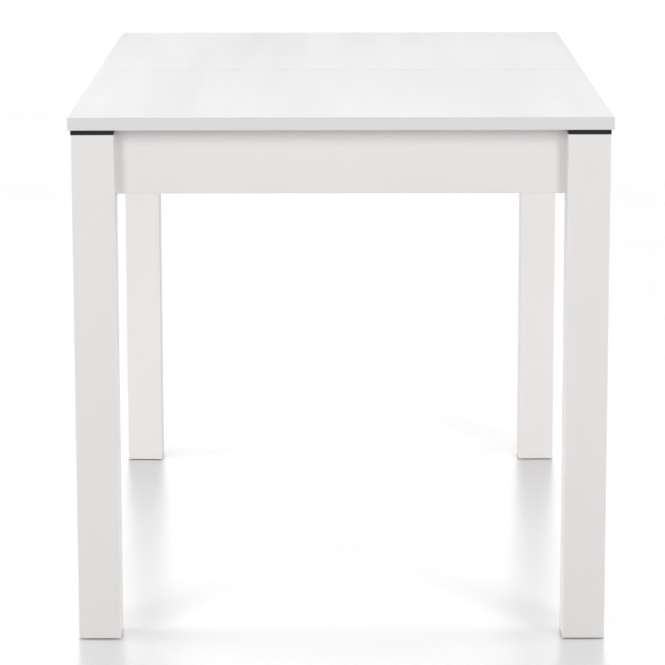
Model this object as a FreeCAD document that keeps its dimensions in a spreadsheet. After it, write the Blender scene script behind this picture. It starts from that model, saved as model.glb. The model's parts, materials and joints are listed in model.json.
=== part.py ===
import FreeCAD, Part
import os
import re

import Sketcher
from FreeCAD import Placement, Rotation, Vector

# Extending dining table with a split top, in millimetres.
# +Z is up, the front end faces -Y, left is -X. The origin is on the floor under the centre.
# The two halves of the top slide apart along Y on rails inside the frame, over a black pad on each
# leg. The loose leaf for the gap lies on two bearers under the top.

SIZES = [
    # whole table
    ("top_length", 1180, "length of the closed top, along Y"),
    ("top_width", 760, "width of the top, along X"),
    ("table_height", 750, "floor to the top surface"),
    ("open_travel", 200, "how far each half of the top slides out"),
    # top halves
    ("top_thick", 18, "board of the top and of the leaf"),
    ("band_thick", 2, "edge band round the outside of the boards"),
    ("band_round", 1, "rounding of the edge band's long edges"),
    ("corner_round", 2.5, "rounding of the top's corners in plan"),
    ("seam_ease", 0.3, "bevel of the boards' upper edges at the seam"),
    ("wood_ease", 1, "rounding of the long edges of battens and bearers"),
    ("top_overhang", 5, "top beyond the legs' outer faces"),
    # legs, pads and feet
    ("leg_side", 60, "square leg"),
    ("leg_round", 1.5, "rounding of the leg's long edges"),
    ("leg_flat", 10, "flat on the leg's inner corner, where it meets the bracket bolt"),
    ("pad_thick", 7, "black pad between leg and top"),
    ("pad_inset", 0.2, "pad back from the leg's faces"),
    ("pad_round", 0.8, "rounding of the pad's edges"),
    ("spigot_radius", 5, "spigot of the pad in the leg"),
    ("spigot_length", 20, "spigot of the pad in the leg"),
    ("glide_thick", 2, "foot glide under the leg"),
    ("glide_radius", 20, "foot glide under the leg"),
    ("glide_bevel", 1, "bevel round the glide's foot"),
    ("nail_radius", 1.6, "nail of the foot glide"),
    ("nail_length", 16, "nail of the foot glide"),
    # aprons
    ("apron_thick", 18, "apron board"),
    ("apron_setback", 21, "apron's outer face behind the leg's outer face"),
    ("apron_low", 640, "floor to the apron's lower edge"),
    ("apron_gap", 1, "apron's upper edge below the sliding top"),
    ("apron_round", 1, "rounding of the apron's lower edges"),
    ("dowel_radius", 4, "all wooden dowels"),
    ("dowel_depth", 14, "apron dowel in each of its two pieces"),
    ("side_dowel_low", 652, "lower dowels of the side aprons"),
    ("side_dowel_high", 700, "upper dowels of the side aprons"),
    ("end_dowel_low", 678, "lower dowels of the end aprons"),
    ("end_dowel_high", 714, "upper dowels of the end aprons"),
    # corner brackets
    ("bracket_low", 645, "floor to the bracket's lower edge"),
    ("bracket_tall", 40, "height of the bracket"),
    ("bracket_reach", 72, "where the diagonal plate leaves the apron, from the inner corner"),
    ("bracket_flange", 28, "flange of the bracket on the apron"),
    ("bracket_sheet", 2.5, "sheet of the bracket"),
    ("bend_radius", 2, "inside of the bracket's bends"),
    ("bolt_radius", 4, "hanger bolt"),
    ("bolt_length", 80, "hanger bolt"),
    ("bolt_past_plate", 12.6, "end of the hanger bolt beyond the bracket's outer face"),
    ("washer_radius", 9, "washer of the hanger bolt"),
    ("washer_thick", 1.6, "washer of the hanger bolt"),
    ("nut_radius", 7.5, "nut's corner radius, 13 across flats"),
    ("nut_thick", 6.5, "nut of the hanger bolt"),
    # screws
    ("shank_radius", 1.75, "wood screw"),
    ("head_radius", 3.5, "wood screw's pan head"),
    ("head_thick", 2.2, "wood screw's pan head"),
    ("bite", 12, "wood screw in the second piece"),
    ("fit_gap", 0.05, "hole beyond the screw or dowel that it holds"),
    # slide rails and runners
    ("rail_length", 940, "rail on the side apron, along Y"),
    ("rail_low", 690, "floor to the rail's lower face"),
    ("rail_tall", 36, "height of the rail"),
    ("rail_deep", 14, "depth of the rail from the apron"),
    ("rail_sheet", 2, "sheet of the rail"),
    ("rail_lip", 10, "height of each lip at the rail's mouth"),
    ("rail_sink", 1.8, "countersink of the rail's screws"),
    ("stop_thick", 9, "rubber stop in the rail's end"),
    ("runner_start", 10, "runner's near end from the seam"),
    ("runner_length", 250, "runner, along Y"),
    ("runner_head", 6, "thickness of the runner's head in the rail"),
    ("runner_neck", 8, "height of the runner's neck in the rail's mouth"),
    ("runner_plate", 2, "sheet of the runner's outer plate"),
    ("runner_plate_low", 696, "floor to the outer plate's lower edge"),
    ("runner_plate_tall", 32, "height of the outer plate"),
    ("runner_plate_off", 20, "outer plate's inner face from the apron"),
    ("shoe_play", 0.4, "play of the nylon shoe in the rail"),
    ("shoe_wall", 1.6, "wall of the nylon shoe"),
    ("shoe_length", 30, "nylon shoe, along Y"),
    # battens under the top
    ("batten_thick", 22, "batten, along X"),
    ("batten_tall", 40, "batten, along Z"),
    ("batten_start", 12, "batten's near end from the seam"),
    ("batten_end", 320, "batten's far end from the seam"),
    ("bore_radius", 5, "counterbore for the batten's screws"),
    ("bore_deep", 20, "counterbore for the batten's screws"),
    # leaf and its bearers
    ("leaf_low", 664, "floor to the stored leaf"),
    ("bearer_place", 250, "bearer's middle from the table's middle"),
    ("bearer_wide", 40, "bearer, along Y"),
    ("bearer_tall", 20, "bearer, along Z"),
    ("angle_reach", 30, "angle bracket along the bearer"),
    ("angle_flange", 25, "angle bracket along the apron"),
    ("angle_sheet", 2, "sheet of the angle bracket"),
    ("angle_tall", 16, "height of the angle bracket"),
    # seam
    ("dowel_spacing", 250, "seam dowels, along X"),
    ("seam_hold", 14, "seam dowel in the board that keeps it"),
    ("seam_reach", 10, "seam dowel beyond the edge"),
    ("seam_play", 0.3, "hole beyond the seam dowel that leaves it"),
    # turn-hook locks
    ("lock_place", 150, "lock from the middle, along X"),
    ("lock_back", 30, "lock's pivot from the seam"),
    ("lock_pin_ahead", 18, "keeper's pin from the seam"),
    ("lock_plate", 2.5, "sheet of the lock's plates"),
    ("lock_plate_wide", 44, "lock's plates, along X"),
    ("lock_plate_long", 30, "lock's plates, along Y"),
    ("lock_screw_off", 16, "lock screws from the plate's middle, along X"),
    ("pivot_radius", 4, "lock's pivot"),
    ("pivot_play", 0.06, "play of the lever on the pivot"),
    ("collar_radius", 7, "collar that spaces the lever, and the pivot's rivet head"),
    ("collar_tall", 3.5, "collar between plate and lever"),
    ("rivet_thick", 2.5, "rivet head under the lever"),
    ("lever_thick", 4, "lever"),
    ("lever_gap", 0.4, "lever's play along the pivot"),
    ("lever_radius", 10, "lever's round ends"),
    ("lever_wide", 14, "lever's arm and thumb piece"),
    ("lever_thumb", 24, "thumb piece beyond the hook"),
    ("keeper_radius", 3, "keeper's pin"),
    ("keeper_play", 0.5, "hook's slot beyond the pin"),
]

# Heights and faces that several pieces share, in the sheet's words.
TOP_UNDER = "(table_height - top_thick)"
LEG_TOP = "(table_height - top_thick - pad_thick)"
LEG_X = "(top_width / 2 - top_overhang - leg_side / 2)"
LEG_Y = "(top_length / 2 - top_overhang - leg_side / 2)"
APRON_TOP = "(table_height - top_thick - apron_gap)"
APRON_X = "(top_width / 2 - top_overhang - apron_setback - apron_thick)"
APRON_Y = "(top_length / 2 - top_overhang - apron_setback - apron_thick)"
LEG_IN_X = "(top_width / 2 - top_overhang - leg_side)"
LEG_IN_Y = "(top_length / 2 - top_overhang - leg_side)"
SEAM_Z = "(table_height - top_thick / 2)"
RAIL_MID = "(rail_low + rail_tall / 2)"
PLATE_X = f"({APRON_X} - runner_plate_off)"
BATTEN_X = f"({APRON_X} - runner_plate_off - runner_plate)"
LEAF_WIDE = "(2 * open_travel)"

LEFT, RIGHT, FRONT, REAR = -1, 1, -1, 1
SIDES = {"left": LEFT, "right": RIGHT}
ENDS = {"front": FRONT, "rear": REAR}
CORNERS = {f"{end}_{side}": (SIDES[side], ENDS[end]) for end in ENDS for side in SIDES}

# Which way each origin plane of a body faces along its own axis.
FACING = {"XY_Plane": 1, "XZ_Plane": -1, "YZ_Plane": 1}

doc = FreeCAD.newDocument("extending_table")
sizes = doc.addObject("Spreadsheet::Sheet", "sizes")
for row, (name, number, note) in enumerate(SIZES, start=1):
    sizes.set(f"A{row}", name)
    sizes.set(f"B{row}", str(number))
    sizes.setAlias(f"B{row}", name)
    sizes.set(f"C{row}", note)
doc.recompute()

sub_parts = []


def cell(formula):
    """A formula in the sheet's words, as an expression for another object."""
    return re.sub(r"\b(?!sqrt)[a-z]\w*", lambda word: "sizes." + word.group(0), formula)


def value(formula):
    """The number that a formula in the sheet's words gives now."""
    return float(sizes.evalExpression(formula))


def place(part, x="0", y="0", z="0"):
    """Puts a part's own origin at a place of the table."""
    for axis, formula in zip("xyz", (x, y, z)):
        part.setExpression(f"Placement.Base.{axis}", cell(formula))


def keep(part, label):
    """Names a finished sub-part, which becomes a file."""
    part.Label = label
    sub_parts.append(part)


# ---- sketches and features ----


def new_body(name):
    body = doc.addObject("PartDesign::Body", name)
    body.AllowCompound = True
    return body


def new_sketch(body, role, level):
    """A sketch on an origin plane of the body, moved to a level along the plane's own axis."""
    sketch = body.newObject("Sketcher::SketchObject", body.Name + "_sketch")
    plane = next(item for item in body.Origin.OriginFeatures if item.Role == role)
    sketch.AttachmentSupport = [(plane, "")]
    sketch.MapMode = "FlatFace"
    sketch.setExpression("AttachmentOffset.Base.z", cell(f"{FACING[role]} * ({level})"))
    return sketch


def fix_point(sketch, geometry, corner, place):
    """Ties one point of a sketch to its place, measured from the sketch's origin."""
    for kind, formula in zip(("DistanceX", "DistanceY"), place):
        rule = Sketcher.Constraint(kind, -1, 1, geometry, corner, value(formula))
        sketch.setExpression(f"Constraints[{sketch.addConstraint(rule)}]", cell(formula))


def draw_outline(sketch, points):
    """A closed outline of straight lines through points given as formulas."""
    corners = [Vector(value(x), value(y), 0) for x, y in points]
    nexts = corners[1:] + corners[:1]
    lines = [sketch.addGeometry(Part.LineSegment(a, b), False) for a, b in zip(corners, nexts)]
    for line, following in zip(lines, lines[1:] + lines[:1]):
        sketch.addConstraint(Sketcher.Constraint("Coincident", line, 2, following, 1))
    for line, place in zip(lines, points):
        fix_point(sketch, line, 1, place)


def draw_box(sketch, low, high):
    """A rectangle between two corners given as formulas."""
    draw_outline(sketch, [low, (high[0], low[1]), high, (low[0], high[1])])


def draw_circles(sketch, places, radius):
    for place in places:
        centre = Vector(value(place[0]), value(place[1]), 0)
        circle = sketch.addGeometry(Part.Circle(centre, Vector(0, 0, 1), value(radius)), False)
        fix_point(sketch, circle, 3, place)
        rule = sketch.addConstraint(Sketcher.Constraint("Radius", circle, value(radius)))
        sketch.setExpression(f"Constraints[{rule}]", cell(radius))


def add_pad(body, sketch, length, way=1):
    """Adds material from a sketch, along the positive (way 1) or negative (way -1) axis."""
    pad = body.newObject("PartDesign::Pad", body.Name + "_pad")
    pad.Profile = sketch
    pad.Reversed = way != FACING[sketch.AttachmentSupport[0][0].Role]
    pad.setExpression("Length", cell(length))
    return pad


def add_pocket(body, sketch, length, way=1):
    """Takes material away from a sketch, along the positive or negative axis."""
    pocket = body.newObject("PartDesign::Pocket", body.Name + "_pocket")
    pocket.Profile = sketch
    pocket.Reversed = way == FACING[sketch.AttachmentSupport[0][0].Role]
    pocket.setExpression("Length", cell(length))
    return pocket


def add_rods(body, role, level, places, radius, length, way):
    """Round rods at several places, all starting at one level."""
    sketch = new_sketch(body, role, level)
    draw_circles(sketch, places, radius)
    return add_pad(body, sketch, length, way)


def add_holes(body, role, level, places, radius, length, way):
    """Round holes at several places, all starting at one level."""
    sketch = new_sketch(body, role, level)
    draw_circles(sketch, places, radius)
    return add_pocket(body, sketch, length, way)


def add_screws(body, role, level, places, length, way):
    """Pan-head wood screws whose heads sit on the face at this level and point along way."""
    add_rods(body, role, level, places, "shank_radius", length, way)
    add_rods(body, role, level, places, "head_radius", "head_thick", -way)


def add_pilots(body, role, level, places, length, way):
    """The holes that such screws need in a piece."""
    add_holes(body, role, level, places, "shank_radius + fit_gap", length, way)


def edges_where(feature, wanted):
    """The names of a feature's edges for which wanted(edge) is true."""
    doc.recompute()
    edges = enumerate(feature.Shape.Edges, start=1)
    return [f"Edge{number}" for number, edge in edges if wanted(edge)]


def round_edges(body, feature, radius, wanted):
    fillet = body.newObject("PartDesign::Fillet", body.Name + "_fillet")
    fillet.Base = (feature, edges_where(feature, wanted))
    fillet.setExpression("Radius", cell(radius))
    return fillet


def bevel_edges(body, feature, size, wanted):
    chamfer = body.newObject("PartDesign::Chamfer", body.Name + "_chamfer")
    chamfer.Base = (feature, edges_where(feature, wanted))
    chamfer.setExpression("Size", cell(size))
    return chamfer


def runs_along(edge, axis):
    """True for a straight edge parallel to x, y or z."""
    if edge.Curve.TypeId != "Part::GeomLine":
        return False
    spans = {"x": edge.BoundBox.XLength, "y": edge.BoundBox.YLength, "z": edge.BoundBox.ZLength}
    return spans[axis] > 0.999 * edge.Length


def near(number, target):
    return abs(number - target) < 0.01


def diagonal_rod(name, radius, start, end, sx, sy, z):
    """A rod along the diagonal of a corner, from start to end, measured into the table from the
    inner corner of the aprons."""
    rod = doc.addObject("Part::Cylinder", name)
    rod.setExpression("Radius", cell(radius))
    rod.setExpression("Height", cell(f"({end}) - ({start})"))
    set_diagonal(rod, start, sx, sy, z)
    return rod


def set_diagonal(part, start, sx, sy, z):
    """Turns a part's own Z axis into the table along a corner's diagonal, and moves it there."""
    inward = Vector(-sx, -sy, 0)
    part.Placement = Placement(Vector(), Rotation(Vector(0, 0, 1), inward))
    x = f"{sx} * ({APRON_X} - ({start}) / sqrt(2))"
    y = f"{sy} * ({APRON_Y} - ({start}) / sqrt(2))"
    place(part, x, y, z)


def cut(name, base, tool):
    result = doc.addObject("Part::Cut", name)
    result.Base = base
    result.Tool = tool
    return result


def group(name, parts):
    """Several separate solids of one kind in one sub-part."""
    result = doc.addObject("Part::Compound", name)
    result.Links = parts
    return result


# ---- legs, pads, feet ----

HALF_LEG = "leg_side / 2"
LEG_HEIGHT = f"({LEG_TOP} - glide_thick)"
CORNER_BOLT_Z = "(bracket_low + bracket_tall / 2)"
PLATE_AT = "(bracket_reach / sqrt(2))"
BOLT_END = f"({PLATE_AT} + bracket_sheet + bolt_past_plate)"
BOLT_START = f"({BOLT_END} - bolt_length)"
LEG_CORNER = f"(({APRON_X} - {LEG_IN_X}) * sqrt(2))"


def make_leg(corner, sx, sy):
    """Square leg, flat inner corner at the top, with holes for pad, glide, dowels and bolt."""
    body = new_body(f"leg_{corner}_column")
    sketch = new_sketch(body, "XY_Plane", "0")
    draw_box(sketch, (f"-{HALF_LEG}", f"-{HALF_LEG}"), (HALF_LEG, HALF_LEG))
    column = add_pad(body, sketch, LEG_HEIGHT)
    round_edges(body, column, "leg_round", lambda edge: runs_along(edge, "z"))
    flat = new_sketch(body, "XY_Plane", LEG_HEIGHT)
    near_x, far_x = f"{-sx} * ({HALF_LEG} - leg_flat - 1)", f"{-sx} * ({HALF_LEG} + 1)"
    near_y, far_y = f"{-sy} * ({HALF_LEG} - leg_flat - 1)", f"{-sy} * ({HALF_LEG} + 1)"
    draw_outline(flat, [(far_x, near_y), (near_x, far_y), (far_x, far_y)])
    add_pocket(body, flat, f"{LEG_TOP} - apron_low", -1)
    centre = [("0", "0")]
    add_holes(body, "XY_Plane", LEG_HEIGHT, centre, "spigot_radius + fit_gap", "spigot_length", -1)
    add_holes(body, "XY_Plane", "0", centre, "nail_radius + fit_gap", "nail_length", 1)
    dowel_x = f"{sx} * ({APRON_X} + apron_thick / 2 - {LEG_X})"
    dowel_y = f"{sy} * ({APRON_Y} + apron_thick / 2 - {LEG_Y})"
    side = [(dowel_x, f"{z} - glide_thick") for z in ("side_dowel_low", "side_dowel_high")]
    end = [(dowel_y, f"{z} - glide_thick") for z in ("end_dowel_low", "end_dowel_high")]
    radius = "dowel_radius + fit_gap"
    add_holes(body, "XZ_Plane", f"{-sy} * {HALF_LEG}", side, radius, "dowel_depth", sy)
    add_holes(body, "YZ_Plane", f"{-sx} * {HALF_LEG}", end, radius, "dowel_depth", sx)
    place(body, f"{sx} * {LEG_X}", f"{sy} * {LEG_Y}", "glide_thick")
    spot = (sx, sy, CORNER_BOLT_Z)
    hole = diagonal_rod(f"leg_{corner}_bolt_hole", "bolt_radius + fit_gap", BOLT_START, LEG_CORNER, *spot)
    keep(cut(f"leg_{corner}", body, hole), f"leg_{corner}")


def make_leg_pad(corner, sx, sy):
    """Black plastic pad on the leg, on which the top slides, with a spigot down into the leg."""
    body = new_body(f"leg_pad_{corner}")
    reach = f"({HALF_LEG} - pad_inset)"
    sketch = new_sketch(body, "XY_Plane", "0")
    draw_box(sketch, (f"-{reach}", f"-{reach}"), (reach, reach))
    slab = add_pad(body, sketch, "pad_thick")
    round_edges(body, slab, "pad_round", lambda edge: runs_along(edge, "z"))
    add_rods(body, "XY_Plane", "0", [("0", "0")], "spigot_radius", "spigot_length", -1)
    place(body, f"{sx} * {LEG_X}", f"{sy} * {LEG_Y}", LEG_TOP)
    keep(body, f"leg_pad_{corner}")


def make_foot_glide(corner, sx, sy):
    """Plastic disc under the leg, with its nail."""
    body = new_body(f"foot_glide_{corner}")
    disc = add_rods(body, "XY_Plane", "0", [("0", "0")], "glide_radius", "glide_thick", 1)
    bevel_edges(body, disc, "glide_bevel", lambda edge: near(edge.BoundBox.ZMax, 0))
    add_rods(body, "XY_Plane", "glide_thick", [("0", "0")], "nail_radius", "nail_length", 1)
    place(body, f"{sx} * {LEG_X}", f"{sy} * {LEG_Y}")
    keep(body, f"foot_glide_{corner}")


# ---- aprons ----

FLANGE_X = f"({APRON_X} - bracket_reach - bracket_flange / 2)"
FLANGE_Y = f"({APRON_Y} - bracket_reach - bracket_flange / 2)"
FLANGE_SCREWS = ("(bracket_low + bracket_tall / 4)", "(bracket_low + 3 * bracket_tall / 4)")
BEARER_LOW = "(leaf_low - bearer_tall)"
BEARER_MID = "(leaf_low - bearer_tall / 2)"
BEARER_IN_Y = "(bearer_place - bearer_wide / 2)"
ANGLE_SCREW_X = f"({APRON_X} - angle_sheet - angle_reach / 2)"
ANGLE_SCREW_Y = f"({BEARER_IN_Y} - angle_sheet - angle_flange / 2)"
RAIL_SCREWS = (-400, -200, 0, 200, 400)  # along Y from the middle
APRON_TALL = f"({APRON_TOP} - apron_low)"


def make_apron_board(name, half_x, half_y, along):
    """A board with its own origin under its middle, and its lower long edges eased."""
    body = new_body(name)
    sketch = new_sketch(body, "XY_Plane", "0")
    draw_box(sketch, (f"-({half_x})", f"-({half_y})"), (half_x, half_y))
    board = add_pad(body, sketch, APRON_TALL)

    def low_edge(edge):
        return runs_along(edge, along) and near(edge.BoundBox.ZMax, 0)

    round_edges(body, board, "apron_round", low_edge)
    return body


def make_end_apron(end, sy):
    body = make_apron_board(f"apron_{end}", LEG_IN_X, "apron_thick / 2", "x")
    dowels = [("0", f"{z} - apron_low") for z in ("end_dowel_low", "end_dowel_high")]
    for side in (LEFT, RIGHT):
        level = f"{side} * {LEG_IN_X}"
        add_holes(body, "YZ_Plane", level, dowels, "dowel_radius + fit_gap", "dowel_depth", -side)
    screws = [(f"{side} * {FLANGE_X}", f"{z} - apron_low") for side in (LEFT, RIGHT) for z in FLANGE_SCREWS]
    add_pilots(body, "XZ_Plane", f"{-sy} * apron_thick / 2", screws, "bite", sy)
    place(body, y=f"{sy} * ({APRON_Y} + apron_thick / 2)", z="apron_low")
    keep(body, f"apron_{end}")


def make_side_apron(side, sx):
    body = make_apron_board(f"apron_{side}", "apron_thick / 2", LEG_IN_Y, "y")
    dowels = [("0", f"{z} - apron_low") for z in ("side_dowel_low", "side_dowel_high")]
    for end in (FRONT, REAR):
        level = f"{end} * {LEG_IN_Y}"
        add_holes(body, "XZ_Plane", level, dowels, "dowel_radius + fit_gap", "dowel_depth", -end)
    screws = [(f"{end} * {FLANGE_Y}", f"{z} - apron_low") for end in (FRONT, REAR) for z in FLANGE_SCREWS]
    screws += [(f"{y}", f"{RAIL_MID} - apron_low") for y in RAIL_SCREWS]
    screws += [(f"{end} * {ANGLE_SCREW_Y}", f"{BEARER_MID} - apron_low") for end in (FRONT, REAR)]
    add_pilots(body, "YZ_Plane", f"{-sx} * apron_thick / 2", screws, "bite", sx)
    place(body, x=f"{sx} * ({APRON_X} + apron_thick / 2)", z="apron_low")
    keep(body, f"apron_{side}")


def make_apron_dowels():
    """Two wooden dowels at each end of each apron, half in the apron and half in the leg."""
    body = new_body("apron_dowels")
    end_y = f"({APRON_Y} + apron_thick / 2)"
    side_x = f"({APRON_X} + apron_thick / 2)"
    ends = [(f"{sy} * {end_y}", z) for sy in (FRONT, REAR) for z in ("end_dowel_low", "end_dowel_high")]
    sides = [(f"{sx} * {side_x}", z) for sx in (LEFT, RIGHT) for z in ("side_dowel_low", "side_dowel_high")]
    for way in (-1, 1):
        start_x = f"{way} * ({LEG_IN_X} - dowel_depth)"
        start_y = f"{way} * ({LEG_IN_Y} - dowel_depth)"
        add_rods(body, "YZ_Plane", start_x, ends, "dowel_radius", "2 * dowel_depth", way)
        add_rods(body, "XZ_Plane", start_y, sides, "dowel_radius", "2 * dowel_depth", way)
    keep(body, "apron_dowels")


# ---- corner brackets and their fasteners ----


def make_corner_bracket(corner, sx, sy):
    """Bent sheet across the corner: a flange on each apron and a diagonal plate for the bolt."""
    body = new_body(f"corner_bracket_{corner}_sheet")
    bend = "(bracket_reach + bracket_sheet * (sqrt(2) - 1))"
    end = "(bracket_reach + bracket_flange)"
    half = [(end, "0"), ("bracket_reach", "0")]
    inner = [(bend, "bracket_sheet"), (end, "bracket_sheet")]
    outline = half + [(v, u) for u, v in reversed(half)]
    outline += [(v, u) for u, v in reversed(inner)] + inner
    sketch = new_sketch(body, "XY_Plane", "0")
    draw_outline(sketch, [(f"{-sx} * {u}", f"{-sy} * {v}") for u, v in outline])
    bent = add_pad(body, sketch, "bracket_tall")

    def bend_at(places):
        """Upright edges at a bend, which lies at one of the two places from a flange's face."""
        offsets = [value(place) for place in places]

        def wanted(edge):
            centre = edge.CenterOfMass
            spans = sorted((abs(centre.x), abs(centre.y)))
            return runs_along(edge, "z") and near(spans[0], offsets[0]) and near(spans[1], offsets[1])

        return wanted

    inside = round_edges(body, bent, "bend_radius", bend_at(("bracket_sheet", bend)))
    round_edges(body, inside, "bend_radius + bracket_sheet", bend_at(("0", "bracket_reach")))
    middle = "(bracket_reach + bracket_flange / 2)"
    heights = ("bracket_tall / 4", "3 * bracket_tall / 4")
    on_end = [(f"{-sx} * {middle}", z) for z in heights]
    on_side = [(f"{-sy} * {middle}", z) for z in heights]
    add_pilots(body, "XZ_Plane", f"{-sy} * bracket_sheet", on_end, "bracket_sheet", sy)
    add_pilots(body, "YZ_Plane", f"{-sx} * bracket_sheet", on_side, "bracket_sheet", sx)
    place(body, f"{sx} * {APRON_X}", f"{sy} * {APRON_Y}", "bracket_low")
    hole = diagonal_rod(
        f"corner_bracket_{corner}_hole", "bolt_radius + fit_gap",
        f"{PLATE_AT} - 1", f"{PLATE_AT} + bracket_sheet + 1", sx, sy, CORNER_BOLT_Z,
    )
    keep(cut(f"corner_bracket_{corner}", body, hole), f"corner_bracket_{corner}")


def make_bracket_fasteners():
    """Hanger bolts into the legs, with a washer and a nut each, and the flange screws."""
    bolts, washers, nuts = [], [], []
    washer_at = f"({PLATE_AT} + bracket_sheet)"
    nut_at = f"({washer_at} + washer_thick)"
    nut_end = f"({nut_at} + nut_thick)"
    for corner, (sx, sy) in CORNERS.items():
        spot = (sx, sy, CORNER_BOLT_Z)
        bolts.append(diagonal_rod(f"bolt_{corner}", "bolt_radius", BOLT_START, BOLT_END, *spot))
        disc = diagonal_rod(f"washer_{corner}_disc", "washer_radius", washer_at, nut_at, *spot)
        hole = diagonal_rod(f"washer_{corner}_hole", "bolt_radius + fit_gap", washer_at, nut_at, *spot)
        washers.append(cut(f"washer_{corner}", disc, hole))
        hexagon = doc.addObject("Part::Prism", f"nut_{corner}_hexagon")
        hexagon.Polygon = 6
        hexagon.setExpression("Circumradius", cell("nut_radius"))
        hexagon.setExpression("Height", cell("nut_thick"))
        set_diagonal(hexagon, nut_at, *spot)
        hole = diagonal_rod(f"nut_{corner}_hole", "bolt_radius + fit_gap", nut_at, nut_end, *spot)
        nuts.append(cut(f"nut_{corner}", hexagon, hole))
    keep(group("hanger_bolts", bolts), "hanger_bolts")
    keep(group("bracket_washers", washers), "bracket_washers")
    keep(group("bracket_nuts", nuts), "bracket_nuts")
    body = new_body("bracket_screws")
    length = "bracket_sheet + bite"
    on_ends = [(f"{sx} * {FLANGE_X}", z) for sx in (LEFT, RIGHT) for z in FLANGE_SCREWS]
    on_sides = [(f"{sy} * {FLANGE_Y}", z) for sy in (FRONT, REAR) for z in FLANGE_SCREWS]
    for way in (-1, 1):
        add_screws(body, "XZ_Plane", f"{way} * ({APRON_Y} - bracket_sheet)", on_ends, length, way)
        add_screws(body, "YZ_Plane", f"{way} * ({APRON_X} - bracket_sheet)", on_sides, length, way)
    keep(body, "bracket_screws")


# ---- rails in the frame ----


def make_slide_rail(side, sx):
    """C-section rail on the side apron, open towards the table's middle."""
    body = new_body(f"slide_rail_{side}")
    mouth = "rail_deep - rail_sheet"
    lower = [
        ("0", "0"), ("rail_deep", "0"), ("rail_deep", "rail_lip"), (mouth, "rail_lip"),
        (mouth, "rail_sheet"), ("rail_sheet", "rail_sheet"),
    ]
    outline = lower + [(depth, f"rail_tall - {height}") for depth, height in reversed(lower)]
    sketch = new_sketch(body, "XZ_Plane", "-rail_length / 2")
    draw_outline(sketch, [(f"{-sx} * ({depth})", height) for depth, height in outline])
    add_pad(body, sketch, "rail_length")
    level = f"{-sx} * rail_sheet"
    screws = [(f"{y}", "rail_tall / 2") for y in RAIL_SCREWS]
    holes = add_holes(body, "YZ_Plane", level, screws, "shank_radius + fit_gap", "rail_sheet", sx)
    face = value(level)

    def at_mouth(edge):
        box = edge.BoundBox
        return edge.Curve.TypeId == "Part::GeomCircle" and near(box.XMax, face) and near(box.XMin, face)

    bevel_edges(body, holes, "rail_sink", at_mouth)
    place(body, x=f"{sx} * {APRON_X}", z="rail_low")
    keep(body, f"slide_rail_{side}")


def make_rail_screws():
    """Countersunk screws, flush in the rails so that the runners pass over them."""
    body = new_body("rail_screws")
    places = [(f"{y}", RAIL_MID) for y in RAIL_SCREWS]
    for way in (-1, 1):
        level = f"{way} * ({APRON_X} - rail_sheet)"
        add_rods(body, "YZ_Plane", level, places, "shank_radius", "rail_sheet + bite", way)
        head = add_rods(body, "YZ_Plane", level, places, "shank_radius + rail_sink", "rail_sink", way)
        head.TaperAngle = -45
    keep(body, "rail_screws")


def make_rail_stops():
    """Rubber block in each end of each rail, where the runner comes to rest when it is out."""
    body = new_body("rail_stops")
    low_z, high_z = "rail_low + rail_sheet", "rail_low + rail_tall - rail_sheet"
    for way in (-1, 1):
        sketch = new_sketch(body, "XZ_Plane", f"{-way} * rail_length / 2")
        for sx in (LEFT, RIGHT):
            inner = f"{sx} * ({APRON_X} - rail_deep + rail_sheet)"
            outer = f"{sx} * ({APRON_X} - rail_sheet)"
            draw_box(sketch, (inner, low_z), (outer, high_z))
        add_pad(body, sketch, "stop_thick", way)
    keep(body, "rail_stops")


# ---- leaf and its bearers ----


def make_leaf_bearer(end, sy):
    body = new_body(f"leaf_bearer_{end}")
    sketch = new_sketch(body, "XY_Plane", "0")
    draw_box(sketch, (f"-{APRON_X}", "-bearer_wide / 2"), (APRON_X, "bearer_wide / 2"))
    bar = add_pad(body, sketch, "bearer_tall")
    round_edges(body, bar, "wood_ease", lambda edge: runs_along(edge, "x"))
    screws = [(f"{side} * {ANGLE_SCREW_X}", "bearer_tall / 2") for side in (LEFT, RIGHT)]
    add_pilots(body, "XZ_Plane", f"{-sy} * bearer_wide / 2", screws, "bite", sy)
    place(body, y=f"{sy} * bearer_place", z=BEARER_LOW)
    keep(body, f"leaf_bearer_{end}")


def make_bearer_angles():
    """Steel angles that hold the bearers to the side aprons, and their screws."""
    angles = new_body("bearer_angles")
    screws = new_body("bearer_screws")
    sketch = new_sketch(angles, "XY_Plane", "0")
    inner = f"({BEARER_IN_Y} - angle_sheet)"
    outline = [
        (f"({APRON_X} - angle_reach)", inner), (f"({APRON_X} - angle_sheet)", inner),
        (f"({APRON_X} - angle_sheet)", f"({BEARER_IN_Y} - angle_flange)"),
        (APRON_X, f"({BEARER_IN_Y} - angle_flange)"), (APRON_X, BEARER_IN_Y),
        (f"({APRON_X} - angle_reach)", BEARER_IN_Y),
    ]
    for sx, sy in CORNERS.values():
        draw_outline(sketch, [(f"{sx} * {x}", f"{sy} * {y}") for x, y in outline])
    add_pad(angles, sketch, "angle_tall")
    in_bearers = [(f"{side} * {ANGLE_SCREW_X}", "angle_tall / 2") for side in (LEFT, RIGHT)]
    in_aprons = [(f"{end} * {ANGLE_SCREW_Y}", "angle_tall / 2") for end in (FRONT, REAR)]
    length = "angle_sheet + bite"
    for way in (-1, 1):
        bearer_face = f"{way} * {inner}"
        apron_face = f"{way} * ({APRON_X} - angle_sheet)"
        add_pilots(angles, "XZ_Plane", bearer_face, in_bearers, "angle_sheet", way)
        add_pilots(angles, "YZ_Plane", apron_face, in_aprons, "angle_sheet", way)
        add_screws(screws, "XZ_Plane", bearer_face, in_bearers, length, way)
        add_screws(screws, "YZ_Plane", apron_face, in_aprons, length, way)
    for part in (angles, screws):
        place(part, z=f"{BEARER_MID} - angle_tall / 2")
        keep(part, part.Name)


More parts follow.
